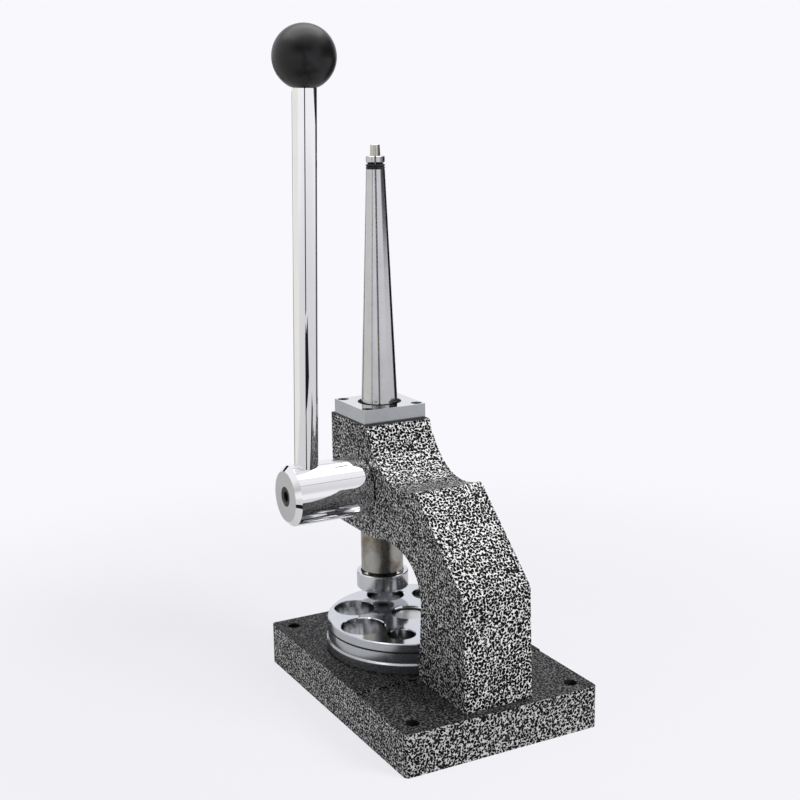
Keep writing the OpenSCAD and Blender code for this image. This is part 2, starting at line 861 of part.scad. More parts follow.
module hub() {
    color("gainsboro")
    difference() {
        at_shaft() {
            bar_x(hub_d, hub_x, hub_end_x - hub_bevel, round_fn);
            translate([hub_end_x - hub_bevel, 0, 0]) rotate([0, 90, 0])
                cylinder(d1 = hub_d, d2 = hub_d - 2 * hub_bevel, h = hub_bevel, $fn = round_fn);
        }
        at_shaft() {
            bar_x(shaft_d + 2 * seat_gap, hub_x - over, shaft_end_x, round_fn);
            bar_x(clamp_screw_d + 2 * seat_gap, lever_x, hub_end_x + over);
            hub_key_shape(seat_gap);
            translate([hub_grub_x, 0, 0]) bar(hub_grub_d + 2 * seat_gap, -hub_d, 0);
        }
        at_lever() bar(lever_d + 2 * seat_gap, -lever_depth, hub_d, round_fn);
    }
}

module hub_key() {
    color("dimgray") at_shaft() hub_key_shape(0);
}

module hub_grub_screw() {
    color("black")
    at_shaft()
        translate([hub_grub_x, 0, hub_grub_sink - hub_d / 2]) rotate([180, 0, 0])
            grub_screw(hub_grub_d, hub_d / 2 - hub_grub_sink - shaft_d / 2);
}

module lever_clamp_screw() {
    color("black")
    at_shaft()
        translate([hub_end_x - clamp_screw_sink, 0, 0]) rotate([0, 90, 0])
            grub_screw(clamp_screw_d, lever_inset - lever_d / 2 - clamp_screw_sink - clamp_tip_gap);
}

module lever_rod() {
    color("gainsboro")
    at_lever() {
        bar(lever_d, -lever_depth, ball_flat_z, round_fn);
        bar(stud_d, ball_flat_z - over, ball_flat_z + stud_l);
    }
}

insert_d = stud_d + 2 * insert_wall;

module knob_insert() {
    color("goldenrod")
    at_lever()
        difference() {
            bar(insert_d, ball_flat_z, ball_flat_z + insert_l);
            bar(stud_d + 2 * seat_gap, ball_flat_z - over, ball_flat_z + insert_l + over);
        }
}

module ball_knob() {
    color("black")
    at_lever()
        difference() {
            translate([0, 0, lever_reach]) sphere(d = ball_d, $fn = round_fn);
            translate([0, 0, ball_flat_z - ball_d]) cylinder(d = ball_d, h = ball_d, $fn = round_fn);
            bar(insert_d + 2 * seat_gap, ball_flat_z - over, ball_flat_z + insert_l);
        }
}

// The bed's rear is cut flat where it meets the column
module die_bed() {
    color("silver")
    difference() {
        at_die()
            turned([
                [0, base_h],
                [bed_r - bed_relief, base_h],
                [bed_r - bed_relief, base_h + bed_relief],
                [bed_r, base_h + bed_relief],
                [bed_r, bed_z - bed_edge],
                [bed_r - bed_edge, bed_z],
                [0, bed_z]
            ]);
        translate([-base_w, column_front, base_h - over]) cube([2 * base_w, base_l, bed_h + 2 * over]);
        at_die() bar(pivot_d + 2 * seat_gap, base_h - over, bed_z + over);
        at_index() bar(index_ball_d + 2 * index_play, base_h - over, bed_z + over);
    }
}

groove_z = bed_z + die_groove_z;
recess_r = pivot_head_d / 2 + pivot_play;
recess_z = die_top - pivot_sink - pivot_head_h - pivot_lift;
dimple_ball_r = (pow(dimple_r, 2) + pow(dimple_depth, 2)) / 2 / dimple_depth;

module die_plate() {
    color("silver")
    at_die()
        difference() {
            turned([
                [0, bed_z],
                [die_r - die_edge, bed_z],
                [die_r, bed_z + die_edge],
                [die_r, groove_z - die_groove_w / 2],
                [die_r - die_groove_depth, groove_z - die_groove_w / 2],
                [die_r - die_groove_depth, groove_z + die_groove_w / 2],
                [die_r, groove_z + die_groove_w / 2],
                [die_r, die_top - die_edge],
                [die_r - die_edge, die_top],
                [0, die_top]
            ]);
            bar(pivot_d + 2 * run_gap, bed_z - over, die_top);
            bar(2 * recess_r, recess_z, die_top + over, round_fn);
            cone(2 * recess_r, 2 * (recess_r + recess_edge), die_top - recess_edge, die_top, round_fn);
            for (i = [0:die_count - 1])
                rotate([0, 0, die_angle(i)]) {
                    translate([die_circle_r, 0, 0]) {
                        cone(
                            die_d(i) - 2 * (die_t + over) * tan(die_taper),
                            die_d(i) + 2 * over * tan(die_taper),
                            bed_z - over, die_top + over, round_fn
                        );
                        cone(die_d(i), die_d(i) + 2 * mouth_edge, die_top - mouth_edge, die_top, round_fn);
                    }
                    translate([-index_r, 0, bed_z + dimple_depth - dimple_ball_r])
                        sphere(r = dimple_ball_r, $fn = small_fn);
                }
        }
}

module die_pivot_pin() {
    color("dimgray")
    at_die() {
        head_top = die_top - pivot_sink;
        bar(pivot_head_d, head_top - pivot_head_h, head_top - pivot_edge, round_fn);
        cone(pivot_head_d, pivot_head_d - 2 * pivot_edge, head_top - pivot_edge, head_top, round_fn);
        bar(pivot_d, bed_z - pivot_seat, head_top);
    }
}

index_ball_z = bed_z - index_drop - index_ball_d / 2;
coil_bite = index_ball_d / 2 + index_wire_d / 2 + seat_gap;
coil_z0 = index_plug_z + index_plug_h + index_wire_d / 2;
coil_z1 = index_ball_z - sqrt(pow(coil_bite, 2) - pow(index_coil_r, 2));

module index_ball() {
    color("silver") at_index() translate([0, 0, index_ball_z]) sphere(d = index_ball_d, $fn = small_fn);
}

coil_turn_steps = 14;
coil_sides = 6;

module index_spring() {
    n = index_coils * coil_turn_steps;
    points = [
        for (i = [0:n], j = [0:coil_sides - 1])
            let (
                a = 360 * i / coil_turn_steps,
                b = 360 * j / coil_sides,
                r = index_coil_r + index_wire_d / 2 * cos(b),
                z = coil_z0 + (coil_z1 - coil_z0) * i / n + index_wire_d / 2 * sin(b)
            )
            [r * cos(a), r * sin(a), z]
    ];
    faces = concat(
        [[for (j = [0:coil_sides - 1]) j]],
        [
            for (i = [0:n - 1], j = [0:coil_sides - 1])
                let (p = i * coil_sides, q = (j + 1) % coil_sides)
                [p + j, p + coil_sides + j, p + coil_sides + q, p + q]
        ],
        [[for (j = [0:coil_sides - 1]) n * coil_sides + coil_sides - 1 - j]]
    );
    color("silver") at_index() polyhedron(points, faces, convexity = 10);
}

module index_plug() {
    color("black")
    at_index()
        translate([0, 0, index_plug_z]) rotate([180, 0, 0]) grub_screw(index_plug_d, index_plug_h);
}

base();
column();
column_bolts();
top_plate();
top_plate_screws();
mandrel_leaf(0);  // mandrel_leaf_1
mandrel_leaf(1);  // mandrel_leaf_2
mandrel_leaf(2);  // mandrel_leaf_3
mandrel_leaf(3);  // mandrel_leaf_4
upper_o_rings();
foot_o_ring();
expander_core();
core_locknut();
ram();
ram_guide_screw();
pusher();
pusher_screw();
pinion_shaft();
right_shaft_bush();
left_shaft_bush();
shaft_end_washer();
shaft_end_screw();
hub();
hub_key();
hub_grub_screw();
lever_clamp_screw();
lever_rod();
knob_insert();
ball_knob();
die_bed();
die_plate();
die_pivot_pin();
index_ball();
index_spring();
index_plug();
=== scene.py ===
"""Looks of the hand lever ring stretcher: hammertone castings, polished metal and the studio."""

import json
import math

import bmesh
import bpy
from mathutils import Matrix, Vector


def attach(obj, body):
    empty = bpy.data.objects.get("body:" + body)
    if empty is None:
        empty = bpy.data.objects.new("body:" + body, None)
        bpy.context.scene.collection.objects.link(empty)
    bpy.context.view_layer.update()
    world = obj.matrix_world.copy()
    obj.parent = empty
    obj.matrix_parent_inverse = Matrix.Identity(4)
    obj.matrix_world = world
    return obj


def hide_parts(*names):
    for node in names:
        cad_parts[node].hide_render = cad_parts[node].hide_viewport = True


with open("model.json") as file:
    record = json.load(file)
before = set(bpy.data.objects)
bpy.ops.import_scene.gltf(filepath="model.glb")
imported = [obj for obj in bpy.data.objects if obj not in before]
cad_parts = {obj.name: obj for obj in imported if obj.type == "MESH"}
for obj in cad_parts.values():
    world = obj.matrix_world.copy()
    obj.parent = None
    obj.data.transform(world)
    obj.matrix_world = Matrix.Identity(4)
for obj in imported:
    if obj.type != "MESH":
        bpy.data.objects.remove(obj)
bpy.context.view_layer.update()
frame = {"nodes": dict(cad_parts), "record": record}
nodes = frame["nodes"]
bodies = frame["record"]["behaviour"]["bodies"]
body_of_node = {n: body for body, members in bodies.items() for n in members}
slot_of_node = {s["node"]: s["material_slot"] for s in frame["record"]["subparts"]}
joint_places = {
    joint["name"]: joint["pos_m"]
    for joint in frame["record"]["behaviour"]["joints"]
    if "pos_m" in joint
}
bench_holes = next(m["dims"] for m in frame["record"]["mounts"] if m["name"] == "base_bolts")
MM = 0.001


# Places read from the frame


def to_tenth(value):
    """A place in metres, rounded to a tenth of a millimetre."""
    tenth = 0.1 * MM
    return round(value / tenth) * tenth


def reach_of(node, axis):
    """The least and the greatest coordinate of a CAD node along an axis."""
    places = [vertex.co[axis] for vertex in nodes[node].data.vertices]
    return min(places), max(places)


die_y = to_tenth(joint_places["die_plate_turn"][1])
hub_x, shaft_y, shaft_z = (to_tenth(value) for value in joint_places["lever_turn"])
ram_y = to_tenth(sum(reach_of("expander_core", 1)) / 2)
hole_x = bench_holes["spacing_x_mm"] / 2 * MM
hole_y = bench_holes["spacing_y_mm"] / 2 * MM
hole_reach = (bench_holes["hole_r_mm"] + 0.75) * MM
base_top = reach_of("base", 2)[1]
column_top = reach_of("column", 2)[1]
plate_r = reach_of("die_plate", 0)[1]
groove_z = reach_of("die_plate", 2)[0] + 7.2 * MM
ram_bore_reach = 19 * MM
shaft_bore_reach = 16 * MM


# Node helpers


class Tree:
    """Adds nodes to a material's, a group's or the world's tree, and links them."""

    def __init__(self, tree):
        self.tree = tree

    def feed(self, socket, value):
        """Links a node's output to the socket, or sets a plain value or colour there."""
        if isinstance(value, bpy.types.NodeSocket):
            self.tree.links.new(value, socket)
        elif socket.type == "RGBA":
            socket.default_value = (*value, 1.0)
        else:
            socket.default_value = value

    def add(self, kind, inputs=None, **settings):
        node = self.tree.nodes.new(kind)
        for key, value in settings.items():
            setattr(node, key, value)
        for key, value in (inputs or {}).items():
            self.feed(node.inputs[key], value)
        return node

    def use(self, group, **inputs):
        return self.add("ShaderNodeGroup", inputs, node_tree=group).outputs

    def math(self, operation, a, b=0.0, c=0.0, clamp=False):
        return self.add(
            "ShaderNodeMath", {0: a, 1: b, 2: c}, operation=operation, use_clamp=clamp
        ).outputs[0]

    def weigh(self, a, a_share, b, b_share):
        """The sum of two values, each times its share."""
        return self.math(
            "ADD", self.math("MULTIPLY", a, a_share), self.math("MULTIPLY", b, b_share)
        )

    def ramp(self, value, low, high, to_low=0.0, to_high=1.0):
        """A soft step from to_low to to_high as the value goes from low to high."""
        return self.add(
            "ShaderNodeMapRange",
            {0: value, 1: low, 2: high, 3: to_low, 4: to_high},
            interpolation_type="SMOOTHSTEP",
        ).outputs[0]

    def band(self, value, low, full, fading, gone):
        """One between full and fading, nothing below low or above gone."""
        return self.math(
            "MULTIPLY", self.ramp(value, low, full), self.ramp(value, fading, gone, 1.0, 0.0)
        )

    def near(self, value, middle, full, gone):
        """One where the value is within full of the middle, nothing past gone."""
        off = self.math("ABSOLUTE", self.math("SUBTRACT", value, middle))
        return self.ramp(off, full, gone, 1.0, 0.0)

    def mix(self, factor, a, b):
        node = self.add("ShaderNodeMix", {0: factor}, data_type="RGBA")
        self.feed(node.inputs[6], a)
        self.feed(node.inputs[7], b)
        return node.outputs[2]

    def noise(self, vector, scale, detail=2.0, roughness=0.5, distortion=0.0):
        return self.add(
            "ShaderNodeTexNoise",
            {
                "Vector": vector,
                "Scale": scale,
                "Detail": detail,
                "Roughness": roughness,
                "Distortion": distortion,
            },
        )


def new_group(name, inputs, outputs):
    group = bpy.data.node_groups.new(name, "ShaderNodeTree")
    for label, kind, value in inputs:
        socket = group.interface.new_socket(label, in_out="INPUT", socket_type=kind)
        if value is not None:
            socket.default_value = value
    for label in outputs:
        group.interface.new_socket(label, in_out="OUTPUT", socket_type="NodeSocketFloat")
    tree = Tree(group)
    given = tree.add("NodeGroupInput").outputs
    out = tree.add("NodeGroupOutput").inputs
    return group, tree, given, out


def new_material(name):
    material = bpy.data.materials.new(name)
    material.use_nodes = True
    tree = Tree(material.node_tree)
    shader = material.node_tree.nodes["Principled BSDF"]
    place = tree.add("ShaderNodeTexCoord").outputs["Object"]
    return material, tree, shader, place


def link_bump(tree, shader, height, strength, distance):
    bump = tree.add(
        "ShaderNodeBump", {"Height": height, "Strength": strength, "Distance": distance}
    )
    tree.feed(shader.inputs["Normal"], bump.outputs[0])


# Effects shared by several finishes


def make_vein_paint():
    """Silver lines between black cells, broken up by noise, like the veins of hammertone paint."""
    wander_scale, wander_reach = 380.0, 1.6 * MM
    ragged_scale, ragged_share = 700.0, 0.38
    cell_share, cell_evenness = 0.95, 0.8
    solid_share = 0.4
    height_depth = 0.2
    patch_scale = 55.0
    group, t, given, out = new_group(
        "vein_paint",
        [
            ("Vector", "NodeSocketVector", None),
            ("Cells", "NodeSocketFloat", 480.0),
            ("Vein", "NodeSocketFloat", 0.078),
        ],
        ["Vein", "Height", "Patch"],
    )
    wander = t.noise(given["Vector"], wander_scale, 1.0).outputs["Color"]
    centred = t.add(
        "ShaderNodeVectorMath", {0: wander, 1: (0.5, 0.5, 0.5)}, operation="SUBTRACT"
    ).outputs[0]
    shift = t.add(
        "ShaderNodeVectorMath", {0: centred, "Scale": wander_reach}, operation="SCALE"
    ).outputs[0]
    place = t.add(
        "ShaderNodeVectorMath", {0: given["Vector"], 1: shift}, operation="ADD"
    ).outputs[0]
    cells = t.add(
        "ShaderNodeTexVoronoi",
        {"Vector": place, "Scale": given["Cells"], "Randomness": cell_evenness},
        feature="DISTANCE_TO_EDGE",
    ).outputs["Distance"]
    patch = t.noise(given["Vector"], patch_scale, 3.0).outputs["Fac"]
    ragged = t.noise(given["Vector"], ragged_scale, 0.0).outputs["Fac"]
    uneven = t.math("MULTIPLY", t.math("SUBTRACT", ragged, 0.5), ragged_share)
    depth = t.math("ADD", t.math("MULTIPLY", cells, cell_share), uneven)
    solid = t.math("MULTIPLY", given["Vein"], solid_share)
    t.feed(out["Vein"], t.ramp(depth, solid, given["Vein"], 1.0, 0.0))
    t.feed(out["Height"], t.ramp(depth, 0.0, height_depth, 1.0, 0.0))
    t.feed(out["Patch"], patch)
    return group


def make_metal_grain():
    """Fine uneven tone of machined metal, with a few soft stains."""
    group, t, given, out = new_group(
        "metal_grain",
        [
            ("Vector", "NodeSocketVector", None),
            ("Fine", "NodeSocketFloat", 900.0),
            ("Stain", "NodeSocketFloat", 60.0),
        ],
        ["Grain", "Stain"],
    )
    fine = t.noise(given["Vector"], given["Fine"], 3.0, 0.6).outputs["Fac"]
    stain = t.noise(given["Vector"], given["Stain"], 4.0, 0.6, 0.4).outputs["Fac"]
    t.feed(out["Grain"], fine)
    t.feed(out["Stain"], t.ramp(stain, 0.42, 0.68))
    return group


def make_turned_rings():
    """Height of fine concentric tool marks round the Z axis of the given vector."""
    group, t, given, out = new_group(
        "turned_rings",
        [("Vector", "NodeSocketVector", None), ("Pitch", "NodeSocketFloat", 0.0004)],
        ["Height"],
    )
    parts = t.add("ShaderNodeSeparateXYZ", {0: given["Vector"]}).outputs
    flat = t.add("ShaderNodeCombineXYZ", {0: parts[0], 1: parts[1], 2: 0.0}).outputs[0]
    length = t.add("ShaderNodeVectorMath", {0: flat}, operation="LENGTH")
    turns = t.math("DIVIDE", length.outputs["Value"], given["Pitch"])
    line = t.add("ShaderNodeCombineXYZ", {0: turns, 1: 0.0, 2: 0.0}).outputs[0]
    t.feed(out["Height"], t.noise(line, 1.0, 2.0, 0.7).outputs["Fac"])
    return group


vein_paint = make_vein_paint()
metal_grain = make_metal_grain()
turned_rings = make_turned_rings()
MARK_DEPTH = 0.05 * MM


# Finishes


def hammertone(name, silver_tone):
    """Silver veins, duller in patches and a little metallic, over black."""
    black = (0.003, 0.003, 0.0033)
    material, t, shader, place = new_material(name)
    coat = t.use(vein_paint, Vector=place, Cells=480.0, Vein=0.078)
    dull = tuple(c * 0.88 for c in silver_tone)
    silver = t.mix(coat["Patch"], dull, silver_tone)
    t.feed(shader.inputs["Base Color"], t.mix(coat["Vein"], black, silver))
    t.feed(shader.inputs["Metallic"], t.math("MULTIPLY", coat["Vein"], 0.35))
    t.feed(shader.inputs["Roughness"], t.ramp(coat["Vein"], 0, 1, 0.5, 0.42))
    link_bump(t, shader, coat["Height"], 0.25, 0.3 * MM)
    t.feed(shader.inputs["Specular IOR Level"], 0.1)
    return material


def bright_metal(name, colour, roughness, grain=0.1, turned_at=None, pitch=None, stained=None):
    """Bare or plated metal. turned_at centres tool marks of that pitch on a Z axis, in metres."""
    material, t, shader, place = new_material(name)
    marks = t.use(metal_grain, Vector=place, Fine=1400.0, Stain=45.0)
    darker = stained or tuple(c * (1 - grain) for c in colour)
    t.feed(shader.inputs["Base Color"], t.mix(marks["Stain"], colour, darker))
    polish = t.ramp(marks["Grain"], 0.2, 0.8, roughness * 0.8, roughness * 1.25)
    t.feed(shader.inputs["Roughness"], polish)
    t.feed(shader.inputs["Metallic"], 1.0)
    if turned_at is None:
        unevenness = min(0.03, roughness * 0.2)
        link_bump(t, shader, marks["Grain"], unevenness, MARK_DEPTH)
        return material
    centre = (-turned_at[0], -turned_at[1], 0.0)
    centred = t.add("ShaderNodeMapping", {0: place, 1: centre}).outputs[0]
    rings = t.use(turned_rings, Vector=centred, Pitch=pitch)
    link_bump(t, shader, rings["Height"], 0.12, MARK_DEPTH)
    return material


def dark_coat(name, colour, roughness, gloss=0.3):
    """Black oxide, rubber, plastic or card, with slightly lighter stains."""
    material, t, shader, place = new_material(name)
    marks = t.use(metal_grain, Vector=place, Fine=1200.0, Stain=90.0)
    lighter = tuple(c * 1.6 + 0.004 for c in colour)
    t.feed(shader.inputs["Base Color"], t.mix(marks["Stain"], colour, lighter))
    polish = t.ramp(marks["Grain"], 0.2, 0.8, roughness * 0.85, roughness * 1.2)
    t.feed(shader.inputs["Roughness"], polish)
    link_bump(t, shader, marks["Grain"], 0.04, MARK_DEPTH)
    t.feed(shader.inputs["Specular IOR Level"], gloss)
    return material


mandrel_axis, die_axis = (0.0, ram_y), (0.0, die_y)

# One paint in three tones. The base's ends and top get darker ones, a painted shade that brings them near
# the photograph's tones
paint = hammertone("hammertone_paint", (0.86, 0.86, 0.85))
base_shaded_paint = hammertone("base_shaded_hammertone", (0.64, 0.64, 0.635))
base_top_shaded_paint = hammertone("base_top_shaded_hammertone", (0.2, 0.2, 0.198))

chrome = bright_metal("chrome_plate", (0.9, 0.9, 0.905), 0.025, 0.02)
hub_face_steel = bright_metal("hub_face_steel", (0.6, 0.6, 0.6), 0.36, 0.05)
ground_steel = bright_metal("ground_steel", (0.6, 0.605, 0.62), 0.15, 0.08, mandrel_axis, 0.3 * MM)
satin_steel = bright_metal("satin_steel", (0.66, 0.66, 0.67), 0.3, 0.08)
die_steel = bright_metal("die_steel", (0.52, 0.54, 0.56), 0.2, 0.06, die_axis, 0.5 * MM)
lapped_steel = bright_metal("lapped_steel", (0.64, 0.67, 0.7), 0.1, 0.05)
mirror_steel = bright_metal("mirror_steel", (0.72, 0.73, 0.75), 0.09, 0.04)
bore_steel = bright_metal("bore_steel", (0.84, 0.845, 0.86), 0.1, 0.03)
pusher_steel = bright_metal("pusher_steel", (0.66, 0.67, 0.69), 0.17, 0.04)
bed_steel = bright_metal("bed_steel", (0.42, 0.43, 0.45), 0.22, 0.1, die_axis, 0.5 * MM)
bare_iron = bright_metal("bare_iron", (0.3, 0.3, 0.3), 0.45, 0.2)
ram_steel = bright_metal("ram_steel", (0.42, 0.41, 0.375), 0.21, stained=(0.2, 0.155, 0.11))
warm_steel = bright_metal("warm_steel", (0.6, 0.57, 0.51), 0.25, 0.12)
bronze = bright_metal("bronze", (0.68, 0.5, 0.24), 0.3, 0.15)
black_oxide = dark_coat("black_oxide", (0.018, 0.018, 0.02), 0.42)
# Black as painted shade in holes, slots, grooves, the pivot recess and the creases under the plates
painted_shade_black = dark_coat("painted_shade_black", (0.01, 0.01, 0.011), 0.5)
black_rubber = dark_coat("black_rubber", (0.012, 0.012, 0.012), 0.55)
black_plastic = dark_coat("black_plastic", (0.004, 0.004, 0.0045), 0.33, 0.36)

finish_of_slot = {
    "hammertone_paint": paint,
    "satin_steel": satin_steel,
    "ground_steel": ground_steel,
    "warm_steel": warm_steel,
    "dark_steel": ram_steel,
    "polished_steel": mirror_steel,
    "chrome_plate": chrome,
    "black_oxide": black_oxide,
    "black_rubber": black_rubber,
    "bronze": bronze,
    "black_plastic": black_plastic,
}


# Pieces

SHARP = math.radians(25)
SAME_PLANE = math.radians(0.4)
SAME_PLACE = 1e-6


def ease_edges(piece, width, segments, outer_only):
    """Joins the CAD faces that lie in one plane, then rounds the sharp edges by width.

    The clamp against overlaps holds the rounding back where a mesh has very short edges: base,
    column, hub, top plate, ram and column bolts get about a tenth of a millimetre or less.
    """
    shape = bmesh.new()
    shape.from_mesh(piece.data)
    bmesh.ops.remove_doubles(shape, verts=shape.verts, dist=SAME_PLACE)
    bmesh.ops.dissolve_limit(
        shape,
        angle_limit=SAME_PLANE,
        verts=shape.verts,
        edges=shape.edges,
        delimit={"NORMAL"},
    )
    share = shape.edges.layers.float.new("bevel_weight_edge")
    for edge in shape.edges:
        sharp = edge.is_manifold and edge.calc_face_angle() > SHARP
        edge[share] = 1.0 if sharp and (edge.is_convex or not outer_only) else 0.0
    shape.to_mesh(piece.data)
    shape.free()
    bpy.ops.object.select_all(action="DESELECT")
    piece.select_set(True)
    bpy.context.view_layer.objects.active = piece
    bpy.ops.mesh.customdata_custom_splitnormals_clear()
    bpy.ops.object.shade_smooth_by_angle(angle=SHARP)
    bevel = piece.modifiers.new("eased_edges", "BEVEL")
    bevel.width = width
    bevel.segments = segments
    bevel.limit_method = "WEIGHT"
    bevel.harden_normals = True
    bevel.use_clamp_overlap = True
    bpy.ops.object.modifier_apply(modifier=bevel.name)


def dressed_copy(name, node, width=0.0, segments=3, finishes=None, choose=None, outer_only=False):
    """A copy of a CAD node, edges rounded by width at most, each face in the finish that choose names."""
    finishes = finishes or [finish_of_slot[slot_of_node[node]]]
    piece = bpy.data.objects.new(name, nodes[node].data.copy())
    bpy.context.scene.collection.objects.link(piece)
    if width:
        ease_edges(piece, width, segments, outer_only)
    piece.data.materials.clear()
    for finish in finishes:
        piece.data.materials.append(finish)
    if choose:
        for face in piece.data.polygons:
            face.material_index = finishes.index(choose(face))
    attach(piece, body_of_node[node])
    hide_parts(node)


for name, node in nodes.items():
    node.data.materials.clear()
    node.data.materials.append(finish_of_slot[slot_of_node[name]])


# Which finish a face has. A normal past SQUARE points along an axis, and past MOSTLY nearly so

SQUARE = 0.99
MOSTLY = 0.9


def from_axis(point, x, y):
    return math.hypot(point.x - x, point.y - y)


def base_finish(face):
    """Bare below, painted shade in black in the bench holes, and one tone of paint each for sides, ends
    and top, the darker ends and top being painted shade.
    """
    middle, normal = face.center, face.normal
    if normal.z < -SQUARE:
        return bare_iron
    hole = math.copysign(hole_x, middle.x), math.copysign(hole_y, middle.y)
    if from_axis(middle, *hole) < hole_reach and abs(normal.z) < 0.5:
        return painted_shade_black
    if abs(normal.x) > MOSTLY:
        return paint
    # Painted shade: the ends and the top get darker tones of the same paint
    return base_top_shaded_paint if normal.z > MOSTLY else base_shaded_paint


def column_finish(face):
    """Painted shade in black along the column's top edge under the plate, bare bores and foot, and paint
    elsewhere.
    """
    middle, normal = face.center, face.normal
    if middle.z > column_top - 0.9 * MM:
        return painted_shade_black
    under_foot = normal.z < -SQUARE and middle.z < base_top + 2 * MM
    in_ram_bore = from_axis(middle, 0, ram_y) < ram_bore_reach and abs(normal.z) < SQUARE
    from_shaft = math.hypot(middle.y - shaft_y, middle.z - shaft_z)
    in_shaft_bore = from_shaft < shaft_bore_reach and abs(normal.x) < SQUARE
    return bare_iron if under_foot or in_ram_bore or in_shaft_bore else paint


def hub_finish(face):
    return hub_face_steel if face.center.x > hub_x and face.normal.x > SQUARE else chrome


def leaf_finish(face):
    """Painted shade in black in the saw cuts and the bore, which don't face outwards."""
    middle, normal = face.center, face.normal
    outward = (normal.x * middle.x + normal.y * (middle.y - ram_y)) / from_axis(middle, 0, ram_y)
    return painted_shade_black if outward < 0.2 and abs(normal.z) < 0.7 else ground_steel


def plate_finish(face):
    """Mirror bright on top, with painted shade in black where the lower edge is rounded."""
    if face.normal.z > SQUARE:
        return mirror_steel
    return painted_shade_black if -SQUARE < face.normal.z < -0.1 else die_steel


def bed_finish(face):
    return satin_steel if face.normal.z > SQUARE else bed_steel


def pivot_finish(face):
    """Painted shade in black on the faces that lean, satin on the others."""
    return painted_shade_black if 0.3 < face.normal.z < MOSTLY else satin_steel


def die_finish(face):
    """Lapped on top, painted shade in black in the rim's groove, turned on the rim, bright in the dies
    and below.
    """
    middle = face.center
    if face.normal.z > SQUARE:
        return lapped_steel
    from_middle = from_axis(middle, *die_axis)
    if from_middle < plate_r - 1.9 * MM:
        return bore_steel
    in_groove = from_middle < plate_r - 0.2 * MM and abs(middle.z - groove_z) < 1.5 * MM
    return painted_shade_black if in_groove else die_steel


dressed_copy(
    "base_casting",
    "base",
    width=1.2 * MM,
    finishes=[base_shaded_paint, painted_shade_black, bare_iron, base_top_shaded_paint, paint],
    choose=base_finish,
)
dressed_copy(
    "column_casting",
    "column",
    width=1.5 * MM,
    finishes=[paint, bare_iron, painted_shade_black],
    choose=column_finish,
)
dressed_copy(
    "ground_plate",
    "top_plate",
    width=0.5 * MM,
    finishes=[die_steel, mirror_steel, painted_shade_black],
    choose=plate_finish,
)
dressed_copy("plate_screws", "top_plate_screws", width=0.15 * MM)
for leaf in range(1, 5):
    dressed_copy(
        f"ground_leaf_{leaf}",
        f"mandrel_leaf_{leaf}",
        width=0.1 * MM,
        segments=2,
        finishes=[ground_steel, painted_shade_black],
        choose=leaf_finish,
        outer_only=True,
    )
dressed_copy("core_rod", "expander_core", width=0.12 * MM, segments=2)
dressed_copy("ram_bar", "ram", width=0.3 * MM)
dressed_copy("pusher_disc", "pusher", width=0.2 * MM, finishes=[pusher_steel])
dressed_copy(
    "lever_hub",
    "hub",
    width=1.3 * MM,
    segments=5,
    finishes=[chrome, hub_face_steel],
    choose=hub_finish,
)
dressed_copy("clamp_screw", "lever_clamp_screw", width=0.2 * MM)
dressed_copy("lever_bar", "lever_rod", width=0.3 * MM)
dressed_copy("black_ball", "ball_knob", width=0.5 * MM)
dressed_copy(
    "turning_plate",
    "die_plate",
    finishes=[die_steel, lapped_steel, bore_steel, painted_shade_black],
    choose=die_finish,
)
dressed_copy(
    "bed_disc",
    "die_bed",
    width=0.15 * MM,
    segments=2,
    finishes=[bed_steel, satin_steel],
    choose=bed_finish,
)
dressed_copy(
    "pivot_head", "die_pivot_pin", finishes=[satin_steel, painted_shade_black], choose=pivot_finish
)
dressed_copy("end_washer", "shaft_end_washer", width=0.3 * MM)
dressed_copy("end_screw", "shaft_end_screw", width=0.2 * MM)
dressed_copy("foot_bolts", "column_bolts", width=0.3 * MM)


# Camera, set to the photograph's angle


def set_camera():
    yaw, pitch, roll = math.radians(28.176), math.radians(12.319), math.radians(-0.814)
    place = (0.39512, 0.7083, 0.37474)
    film_width, focal_pixels, photo_pixels = 36.0, 1317.27, 800.0
    look = Vector(
        (
            -math.sin(yaw) * math.cos(pitch),
            -math.cos(yaw) * math.cos(pitch),
            -math.sin(pitch),
        )
    )
    right = look.cross(Vector((0, 0, 1))).normalized()
    up = right.cross(look)
    across = math.cos(roll) * right + math.sin(roll) * up
    upward = -math.sin(roll) * right + math.cos(roll) * up
    data = bpy.data.cameras.new("photo_camera")
    data.sensor_width = film_width
    data.lens = film_width * focal_pixels / photo_pixels
    data.clip_start, data.clip_end = 0.05, 20.0
    camera = bpy.data.objects.new("photo_camera", data)
    bpy.context.scene.collection.objects.link(camera)
    turn = Matrix((across, upward, -look)).transposed().to_4x4()
    camera.matrix_world = Matrix.Translation(place) @ turn
    bpy.context.scene.camera = camera


# Studio. The cards and the panel are placed with on_table, the lamps along the frame's own axes

STUDIO_WHITE = (0.947, 0.939, 0.98)
CAMERA_X, CAMERA_Y = 0.472, 0.8815


def on_table(towards, rightward, height=0.0):
    """A place given from the middle of the base towards the camera and to its right."""
    return (
        CAMERA_X * towards - CAMERA_Y * rightward,
        CAMERA_Y * towards + CAMERA_X * rightward,
        height,
    )


to_camera, to_right = Vector(on_table(1, 0)), Vector(on_table(0, 1))
upright = Vector((0, 0, 1))


def add_light(name, place, aim, size, power):
    data = bpy.data.lights.new(name, "AREA")
    data.shape = "RECTANGLE"
    data.size, data.size_y = size
    data.energy = power
    lamp = bpy.data.objects.new(name, data)
    bpy.context.scene.collection.objects.link(lamp)
    lamp.location = place
    lamp.rotation_euler = (Vector(aim) - Vector(place)).to_track_quat("-Z", "Y").to_euler()
    return lamp


